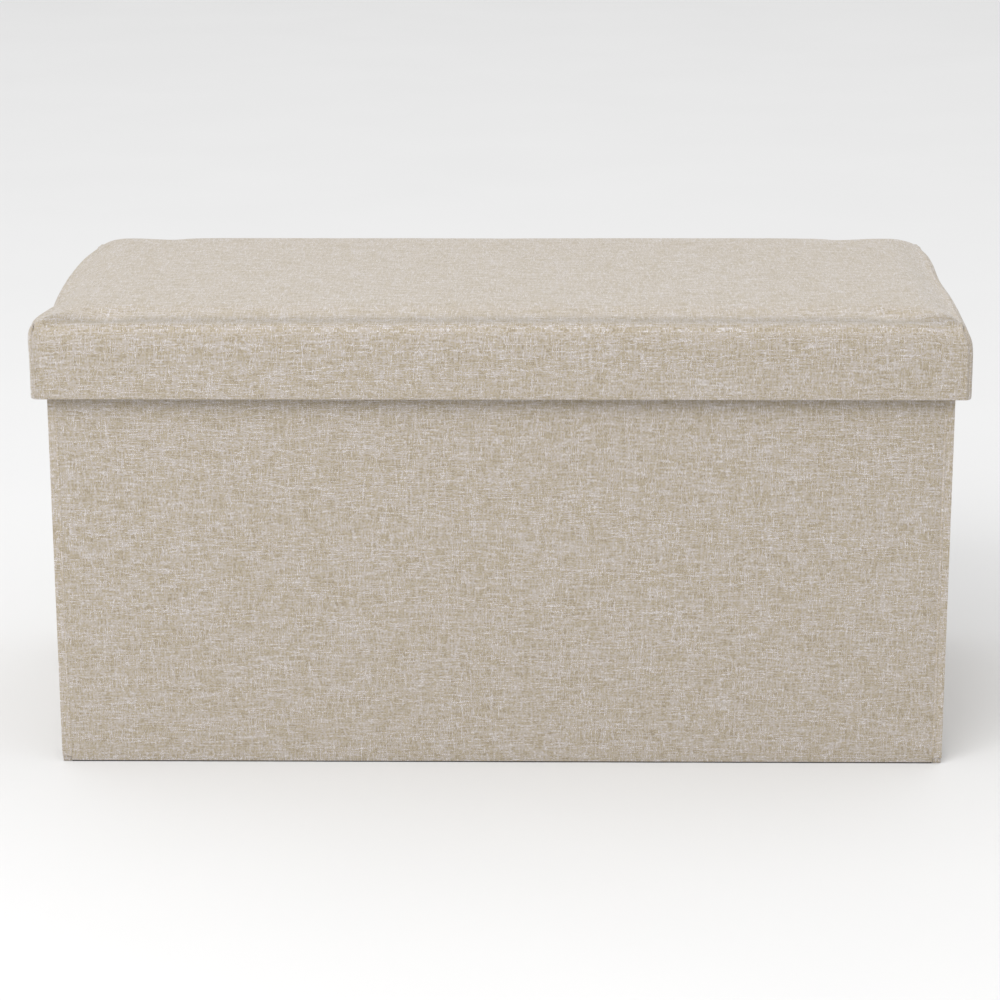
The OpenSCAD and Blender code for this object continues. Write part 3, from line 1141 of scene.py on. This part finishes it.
def unfold_rim(piece):
    """Lays the pattern on the edge turned under: the faces low down, inside the lid or not yet unfolded."""
    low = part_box("lid_cover")[0]
    layer = piece.data.uv_layers["weave"]
    places = points_of(piece)
    for face in piece.data.polygons:
        flat = [layer.data[i].uv for i in face.loop_indices]
        unfolded = max((a - flat[0]).length for a in flat) > 1 * MM
        outside = max(abs(face.center.x / low.x), abs(face.center.y / low.y)) >= OUTER_SHARE
        if unfolded and outside and face.center.z > low.z + 2 * MM:
            continue
        axis = 1 if abs(face.normal.x) > 0.7 else 0
        for loop in face.loop_indices:
            spot = places[piece.data.loops[loop].vertex_index]
            other = spot[2] if abs(face.normal.z) < 0.7 else spot[1 - axis]
            layer.data[loop].uv = (spot[axis] + 1.3, other + 0.7)


def seat_pad(shell):
    """The foam and its wadding, just inside the cloth and flat on the lid's board."""
    choose(shell)
    bpy.ops.object.duplicate()
    pad = bpy.context.object
    pad.name = pad.data.name = "seat_pad"
    set_points(pad, points_of(pad) - normals_of(pad) * 1.9 * MM)
    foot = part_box("seat_foam")[0].z
    edit_all(pad)
    bpy.ops.mesh.bisect(plane_co=(0, 0, foot), plane_no=(0, 0, 1), use_fill=True, clear_inner=True)
    turn_outwards()
    pad.vertex_groups.clear()
    dress(pad, "foam", 50)
    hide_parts("seat_foam")
    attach(pad, "lid")


def seam_line(piece, side):
    """The points and normals along an end seam, from the front foot over the top to the back foot."""
    places, outward = points_of(piece), normals_of(piece)
    parts = [set() for _ in places]
    for face in piece.data.polygons:
        for index in face.vertices:
            parts[index].add(face.material_index)
    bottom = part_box("lid_cover")[0].z
    both = {0, END_PARTS[side]}
    found = [i for i, here in enumerate(parts) if both <= here and places[i][2] > bottom + 3 * MM]
    found.sort(key=lambda i: math.atan2(places[i][1], places[i][2] - bottom))
    return places[found], outward[found]


def add_stitches(line, outward, side, name):
    """One row of stitches beside a seam"""
    lid = bpy.context.scene.bench_lid
    steps = np.linalg.norm(np.diff(line, axis=0), axis=1)
    along = np.concatenate([[0], np.cumsum(steps)])
    pitch = lid.stitch + lid.stitch_gap
    count = int(along[-1] / pitch) - 1
    radius = 0.32 * MM
    inboard = np.array([-side * 1.7 * MM, 0, 0])
    made = []
    for i in range(count):
        middle = (i + 1) * pitch
        spots = (middle - lid.stitch / 2, middle + lid.stitch / 2)
        ends = [np.array([np.interp(spot, along, line[:, k]) for k in range(3)]) for spot in spots]
        lift = np.array([np.interp(middle, along, outward[:, k]) for k in range(3)])
        centre = (ends[0] + ends[1]) / 2 + inboard + lift * 0.45 * MM
        direction = Vector(ends[1] - ends[0]).normalized()
        bpy.ops.mesh.primitive_uv_sphere_add(
            segments=8, ring_count=6, radius=1, location=centre,
            rotation=direction.to_track_quat("Z", "Y").to_euler(), scale=(radius, radius, lid.stitch / 2),
        )
        made.append(bpy.context.object)
    deselect()
    for piece in made:
        piece.select_set(True)
    bpy.context.view_layer.objects.active = made[0]
    bpy.ops.object.join()
    piece = bpy.context.object
    piece.name = piece.data.name = name
    bpy.ops.object.transform_apply(location=True, rotation=True, scale=True)
    dress(piece, "thread", 80)
    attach(piece, "lid")
    return piece


class BENCH_OT_lid_cloth(bpy.types.Operator):
    """Upholsters the lid: the cloth over its foam, the sewn ends and their stitches"""

    bl_idname = "bench.lid_cloth"
    bl_label = "Upholster the lid"

    def execute(self, context):
        cloth = context.scene.bench_cloth
        shell = lid_shell()
        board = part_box("lid_board")[1].z
        hold_low(shell, board - 6 * MM, board + 10 * MM)
        fill_cloth(shell)
        turn_under(shell)
        unfold_rim(shell)
        shell.modifiers.new("smooth", "SUBSURF").levels = 1
        shell.modifiers["smooth"].render_levels = 1
        apply_all(shell)
        pull_corners(shell)
        seat_pad(shell)
        tuck_seams(shell)
        for side, name in ((-1, "left"), (1, "right")):
            line, outward = seam_line(shell, side)
            add_stitches(line, outward, side, f"lid_{name}_stitches")
        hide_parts("lid_stitching")
        for name in ("main", "left", "right"):
            shell.data.materials.append(bpy.data.materials.new(name))
        edit_all(shell)
        bpy.ops.mesh.separate(type="MATERIAL")
        bpy.ops.object.mode_set(mode="OBJECT")
        low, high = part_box("lid_cover")
        lining_low, lining_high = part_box("lid_lining")
        turned = 2 * (high.x - lining_high.x) + 2 * (lining_low.z - low.z)
        drop = 2 * (high.z - low.z)
        seat = ("lid_wrap", "lid_cover", (high.x - low.x, high.y - low.y + drop + turned))
        end = (high.y - low.y, (drop + turned) / 2)
        by_side = {
            0: seat,
            -1: ("lid_left_end", "lid_left_end_cover", end),
            1: ("lid_right_end", "lid_right_end_cover", end),
        }
        for part in list(context.selected_objects):
            side = round(points_of(part)[:, 0].mean() / high.x)
            name, node, flat = by_side[side]
            part.name = part.data.name = name
            part.vertex_groups.clear()
            thicken(part, cloth.thickness + 0.2 * MM)
            dress(part, "linen", 60)
            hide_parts(node)
            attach(part, "lid")
        return {"FINISHED"}


class BENCH_OT_lid_frame(bpy.types.Operator):
    """Finishes the lid's board, rails and fixings, and lines it"""

    bl_idname = "bench.lid_frame"
    bl_label = "Finish the lid's frame"

    def execute(self, context):
        dress_node("lid_board")
        for place in ("front", "back", "left", "right"):
            dress_node(f"lid_{place}_rail")
        dress_node("lid_staples")
        dress_node("lid_brads")
        low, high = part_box("lid_lining")
        inset = 1 * MM
        margin = Vector((inset, inset, 0))
        piece = add_block("lid_lining_sheet", low + margin, high - margin)
        cut_rows(piece, 0, row_places(low.x, high.x, [0.01], 0.02))
        cut_rows(piece, 1, row_places(low.y, high.y, [0.01], 0.02))
        bevel_sharp(piece, 0.2 * MM, 2)
        places = points_of(piece)
        under = places[:, 2] < low.z + TOUCH
        places[:, 2] += np.where(under, 0.1 * MM * (1 + waves(places, 0.05, 4)), 0)
        set_points(piece, places)
        dress(piece, "lining")
        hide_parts("lid_lining")
        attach(piece, "lid")
        return {"FINISHED"}


# Stage


def softbox(name, place, target, size, power):
    light = bpy.data.lights.new(name, "AREA")
    light.shape = "RECTANGLE"
    light.size, light.size_y = size
    light.energy = power
    lamp = bpy.data.objects.new(name, light)
    bpy.context.scene.collection.objects.link(lamp)
    lamp.location = place
    lamp.rotation_euler = (Vector(target) - Vector(place)).to_track_quat("-Z", "Y").to_euler()


class BENCH_OT_stage(bpy.types.Operator):
    """Sets up the pale floor, the studio lights and the camera"""

    bl_idname = "bench.stage"
    bl_label = "Set the stage"

    def execute(self, context):
        scene = context.scene
        stage = scene.bench_stage
        deselect()
        bpy.ops.mesh.primitive_plane_add(size=30)
        floor = context.object
        floor.name = "floor"
        finish = Recipe("pale_floor", roughness=0.9)
        clouds = finish.noise(finish.object_place(), 3, 2)
        darker = tuple(0.985 * c for c in stage.floor)
        finish.colour(finish.ramp(clouds, [(0.3, darker), (0.7, tuple(stage.floor))]))
        floor.data.materials.append(finish.material)
        world = bpy.data.worlds.new("room")
        world.use_nodes = True
        glow = world.node_tree.nodes["Background"]
        glow.inputs[0].default_value = (1, 1, 1, 1)
        glow.inputs[1].default_value = stage.sky
        scene.world = world
        softbox("overhead", (0.0, 2.6, 4.5), (0, 2.6, 0), (16.0, 15.0), stage.overhead)
        softbox("key", (-1.3, -2.6, 2.7), (0, 0, 0.2), (2.6, 2.0), stage.key)
        scene.view_settings.view_transform = "Standard"
        lens = bpy.data.cameras.new("camera")
        lens.lens = stage.lens
        lens.sensor_width = 36
        lens.clip_end = 100
        camera = bpy.data.objects.new("camera", lens)
        scene.collection.objects.link(camera)
        camera.matrix_world = (
            Matrix.Translation((stage.aside, -stage.distance, stage.height))
            @ Matrix.Rotation(stage.turn, 4, "Z")
            @ Matrix.Rotation(math.pi / 2 - stage.tilt, 4, "X")
            @ Matrix.Rotation(stage.roll, 4, "Z")
        )
        scene.camera = camera
        return {"FINISHED"}


class BENCH_PT_panel(bpy.types.Panel):
    """Lists the steps of the bench and their settings"""

    bl_idname = "BENCH_PT_panel"
    bl_label = "Folding storage bench"
    bl_space_type = "VIEW_3D"
    bl_region_type = "UI"
    bl_category = "Bench"

    def draw(self, context):
        layout = self.layout
        for step in STEPS:
            layout.operator(step.bl_idname)
        for name in SETTINGS:
            group = getattr(context.scene, name)
            box = layout.box()
            for key in group.__annotations__:
                box.prop(group, key)


STEPS = (
    BENCH_OT_stage,
    BENCH_OT_folds,
    BENCH_OT_walls,
    BENCH_OT_base,
    BENCH_OT_lid_frame,
    BENCH_OT_lid_cloth,
)
SETTINGS = {
    "bench_cloth": ClothSettings,
    "bench_walls": WallSettings,
    "bench_lid": LidSettings,
    "bench_stage": StageSettings,
}


def register():
    for group in SETTINGS.values():
        bpy.utils.register_class(group)
    for name, group in SETTINGS.items():
        setattr(bpy.types.Scene, name, PointerProperty(type=group))
    for step in STEPS:
        bpy.utils.register_class(step)
    bpy.utils.register_class(BENCH_PT_panel)


def unregister():
    bpy.utils.unregister_class(BENCH_PT_panel)
    for step in reversed(STEPS):
        bpy.utils.unregister_class(step)
    for name, group in SETTINGS.items():
        delattr(bpy.types.Scene, name)
        bpy.utils.unregister_class(group)


def main():
    register()
    bpy.ops.bench.stage()
    bpy.ops.bench.folds()
    bpy.ops.bench.walls()
    bpy.ops.bench.base()
    bpy.ops.bench.lid_frame()
    bpy.ops.bench.lid_cloth()


if __name__ == "__main__":
    main()
